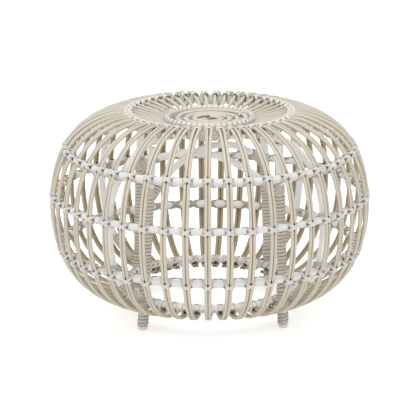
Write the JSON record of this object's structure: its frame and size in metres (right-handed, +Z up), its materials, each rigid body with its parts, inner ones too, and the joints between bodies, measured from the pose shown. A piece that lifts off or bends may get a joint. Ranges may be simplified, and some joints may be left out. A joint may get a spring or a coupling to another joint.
{
  "type": "outdoor ottoman footstool",
  "caption": "Round outdoor footstool: an open cage of paired canes over ring tubes, a coiled seat and arched, cord-wound legs on glides.",
  "frame": {"origin": "on the floor under the middle of the seat", "axes": "+Z up along the cage's axis; a cane pair faces -Y, the side that the picture shows"},
  "size_m": [0.5518, 0.5516, 0.3565],
  "materials": {
    "cane": "ivory powder coat over thin tube, satin, with a light cane grain",
    "coil_cane": "ivory powder coat, satin",
    "ring_tube": "white powder coat, satin",
    "hoop_tube": "white powder coat, satin",
    "leg_winding": "grey-beige synthetic cord wound close round a white tube",
    "glide": "moulded, matt"
  },
  "bodies": {
    "root": {"cane_pair_01": "cane", "cane_pair_02": "cane", "cane_pair_03": "cane", "cane_pair_04": "cane", "cane_pair_05": "cane", "cane_pair_06": "cane", "cane_pair_07": "cane", "cane_pair_08": "cane", "cane_pair_09": "cane", "cane_pair_10": "cane", "cane_pair_11": "cane", "cane_pair_12": "cane", "cane_pair_13": "cane", "cane_pair_14": "cane", "cane_pair_15": "cane", "cane_pair_16": "cane", "cane_pair_17": "cane", "cane_pair_18": "cane", "cane_pair_19": "cane", "cane_pair_20": "cane", "cane_pair_21": "cane", "cane_pair_22": "cane", "cane_pair_23": "cane", "cane_pair_24": "cane", "cane_pair_25": "cane", "cane_pair_26": "cane", "cane_pair_27": "cane", "cane_pair_28": "cane", "cane_pair_29": "cane", "cane_pair_30": "cane", "cane_pair_31": "cane", "cane_pair_32": "cane", "cane_pair_33": "cane", "cane_pair_34": "cane", "cane_pair_35": "cane", "cane_pair_36": "cane", "cane_pair_37": "cane", "cane_pair_38": "cane", "cane_pair_39": "cane", "cane_pair_40": "cane", "cane_pair_41": "cane", "cane_pair_42": "cane", "cane_pair_43": "cane", "cane_pair_44": "cane", "cane_pair_45": "cane", "cane_pair_46": "cane", "cane_pair_47": "cane", "base_ring": "ring_tube", "lower_ring": "ring_tube", "belly_ring": "ring_tube", "shoulder_ring": "ring_tube", "top_ring": "ring_tube", "dome_hoops": "hoop_tube", "leg_frame_left": "leg_winding", "leg_frame_right": "leg_winding", "seat_coil": "coil_cane", "foot_glide_front_left": "glide", "foot_glide_front_right": "glide", "foot_glide_back_left": "glide", "foot_glide_back_right": "glide"}
  },
  "joints": []
}
